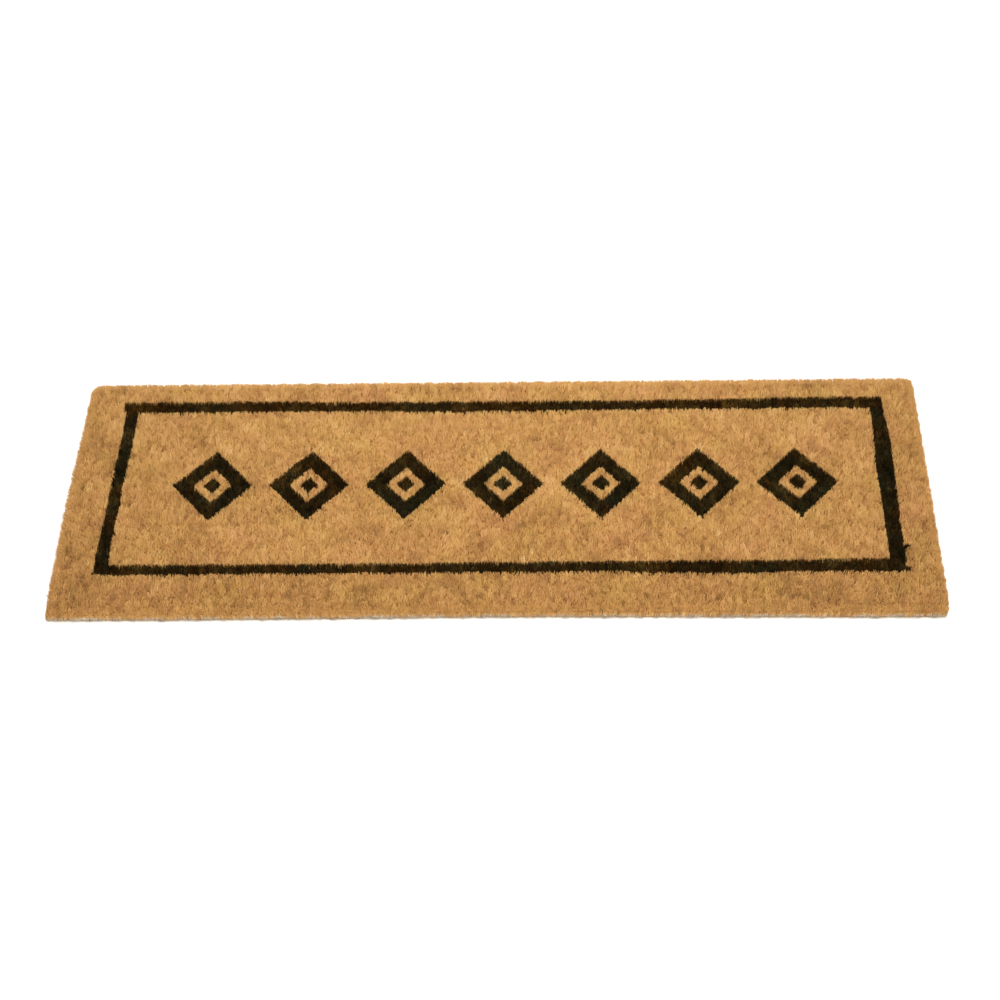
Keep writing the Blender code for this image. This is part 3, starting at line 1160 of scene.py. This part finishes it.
def bed_object(name, nodes, material, shade):
    """The dense lower part of the pile: a lumpy solid that is lower near the mat's edge."""
    obj = linked(name, bed_blocks(name, nodes))
    mesh = voxel_mesh(obj)
    obj.data = mesh
    co = np.empty(len(mesh.vertices) * 3, np.float32)
    mesh.vertices.foreach_get("co", co)
    co = co.reshape(-1, 3).astype(float)
    top = np.clip((co[:, 2] - BACKING_TOP) / (BED_TOP - BACKING_TOP), 0, 1)
    lumps = BED_LUMPS * drift(co[:, 0], co[:, 1], BED_LUMP_WAVELENGTH)
    co[:, 2] += top * (lumps + rng.normal(0, BED_LUMP_SPREAD, len(co)))
    tones = shade + BED_PATCHES * drift(co[:, 0], co[:, 1], BED_PATCH_WAVELENGTH)
    distance, out_x, out_y = edge_distance(co[:, 0], co[:, 1])
    short = np.maximum(BED_INSET - distance, 0)
    co[:, 0] -= out_x * short
    co[:, 1] -= out_y * short
    shoulder = np.clip(1 - (distance - BED_INSET) / BED_SHOULDER_LENGTH, 0, 1) ** 2
    co[:, 2] -= top * BED_SHOULDER * shoulder
    mesh.vertices.foreach_set("co", spread(co).astype(np.float32).ravel())
    tints = np.full(len(co), MIDDLE_TINT)
    # The bed's colour is painted shade deep in the pile.
    add_values(mesh, {"shade": tones, "along": BED_SHADE_DEPTH * top, "tint": tints})
    mesh.shade_smooth()
    mesh.materials.clear()
    mesh.materials.append(material)
    return obj


# ---------------------------------------------------------------- build the pile

def node_slot(node):
    return next(s["material_slot"] for s in frame["record"]["subparts"] if s["node"] == node)


def dyed(f, node):
    """Dyed fibres vary more from one to the next. Each line has its own depth of dye and cast."""
    if node_slot(node) == "natural_coir":
        return f
    depth, cast = DYE.get(node, MOTIF_DYE)
    n = len(f["x"])
    shade = f["shade"] - MIDDLE_SHADE
    tint = f["tint"] - MIDDLE_TINT
    f["shade"] = MIDDLE_SHADE + SHADE_KEPT * shade + rng.normal(-depth, DYE_SHADE_SPREAD, n)
    f["tint"] = MIDDLE_TINT + TINT_KEPT * tint + rng.normal(cast, DYE_TINT_SPREAD, n)
    return f


def grow(f, levels):
    n = len(f["x"])
    f["curl"] = rng.normal(0, CURL_SPREAD, n)
    f["twist"] = rng.uniform(0, 2 * math.pi, n)
    f["points"] = fibre_points(f, levels)


def areas_of(f):
    """The CAD node that each fibre belongs to, which is the one that its upper part is over."""
    tip = f["points"][:, -FIBRE_SIDES:].mean(axis=1)
    x = f["x"] + DYE_HEIGHT * (tip[:, 0] - f["x"])
    y = f["y"] + DYE_HEIGHT * (tip[:, 1] - f["y"])
    return regions_of(x + ragged(y, TOOTH_PITCH_X), y + ragged(x, TOOTH_PITCH_Y))


def make_fibres():
    made = []
    for kind, f, levels, root_share in fibre_kinds():
        grow(f, levels)
        names = areas_of(f)
        for node in sorted(set(names)):
            slot = node_slot(node)
            material = black_material if slot == "black_coir" else natural_material
            mine = chosen(f, names == node)
            order = np.argsort(mine["x"], kind="stable")
            mine = dyed(chosen(mine, order), node)
            count = len(mine["x"])
            parts = math.ceil(count / MOST_FIBRES_IN_PIECE)
            for number, part in enumerate(np.array_split(np.arange(count), parts), start=1):
                name = f"{node}_{kind}" + (f"_{number}" if parts > 1 else "")
                obj = fibre_object(name, chosen(mine, part), levels, material, root_share)
                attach(obj, "root")
                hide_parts(node)
                made.append(obj)
    return made


def make_beds():
    made = []
    for kind, slot, material, shade in (
        ("natural", "natural_coir", natural_bed_material, NATURAL_BED_SHADE),
        ("black", "black_coir", black_bed_material, BLACK_BED_SHADE),
    ):
        nodes = sorted(n for n in frame["nodes"] if node_slot(n) == slot)
        bed = bed_object(f"pile_bed_{kind}", nodes, material, shade)
        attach(bed, "root")
        made.append(bed)
    return made


pile = make_fibres() + make_beds()
backing = backing_sheet()
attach(backing, "root")
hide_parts("vinyl_backing")


# ---------------------------------------------------------------- floor, light and camera

FLOOR_REACH = 14.0
FLOOR_DROP = 0.0002


def make_floor():
    x, y = FLOOR_REACH, FLOOR_REACH
    mesh = bpy.data.meshes.new("floor")
    mesh.from_pydata([(-x, -y, 0), (x, -y, 0), (x, y, 0), (-x, y, 0)], [], [(0, 1, 2, 3)])
    floor = linked("floor", mesh)
    floor.location = (0, 0, -FLOOR_DROP)
    material, _, shader = nodes_of("pale_floor")
    shader.inputs["Base Color"].default_value = (0.93, 0.93, 0.93, 1)
    shader.inputs["Roughness"].default_value = 0.9
    shader.inputs["Specular IOR Level"].default_value = 0.0
    shader.inputs["Emission Color"].default_value = (1.0, 1.0, 1.0, 1)
    shader.inputs["Emission Strength"].default_value = 0.22
    mesh.materials.append(material)


def make_light(name, place, aim, size, power):
    data = bpy.data.lights.new(name, "AREA")
    data.shape = "DISK"
    data.size = size
    data.energy = power
    light = linked(name, data)
    light.location = place
    light.visible_camera = False
    direction = Vector(aim) - Vector(place)
    light.rotation_euler = direction.to_track_quat("-Z", "Y").to_euler()


def make_studio():
    world = bpy.data.worlds.new("studio")
    world.use_nodes = True
    background = world.node_tree.nodes["Background"]
    background.inputs["Color"].default_value = (1.0, 1.0, 1.0, 1)
    background.inputs["Strength"].default_value = 1.0
    bpy.context.scene.world = world
    make_light("overhead", (0.02, 0.30, 1.15), (0, 0, 0), size=1.0, power=6.0)
    make_light("fill", (0.6, -2.0, 2.2), (0, 0, 0), size=2.0, power=23)


def make_camera():
    data = bpy.data.cameras.new("camera")
    data.lens = CAMERA_LENS
    data.sensor_width = CAMERA_SENSOR
    camera = linked("camera", data)
    camera.location = CAMERA_PLACE
    camera.rotation_euler = [math.radians(angle) for angle in CAMERA_TURN]
    bpy.context.scene.camera = camera


make_floor()
make_studio()
make_camera()
bpy.context.scene.view_settings.view_transform = "Standard"
